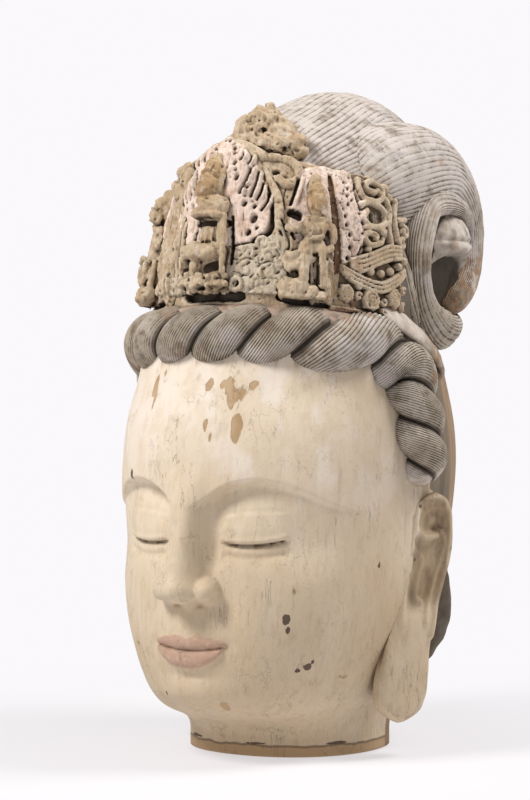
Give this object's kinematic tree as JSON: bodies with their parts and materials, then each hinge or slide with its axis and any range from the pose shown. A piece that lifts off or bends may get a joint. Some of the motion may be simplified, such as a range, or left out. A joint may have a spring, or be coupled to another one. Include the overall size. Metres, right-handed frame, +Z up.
{
  "type": "bodhisattva head sculpture",
  "caption": "Carved and painted wooden bodhisattva head with a crown of figures in relief, twisted hair roll and grooved topknot, standing on its flat-cut neck.",
  "frame": {"origin": "centre of the neck's flat underside", "axes": "+Z up, the face looks along -Y, +X towards the figure's left ear"},
  "size_m": [0.3234, 0.4034, 0.599],
  "materials": {
    "gesso": "worn cream gesso over wood, satin",
    "crown_paint": "weathered beige and pink paint over wood, matt",
    "hair_paint": "worn grey-blue paint over wood, matt"
  },
  "bodies": {
    "root": {"head": "gesso", "crown": "crown_paint", "topknot": "hair_paint"}
  },
  "joints": []
}
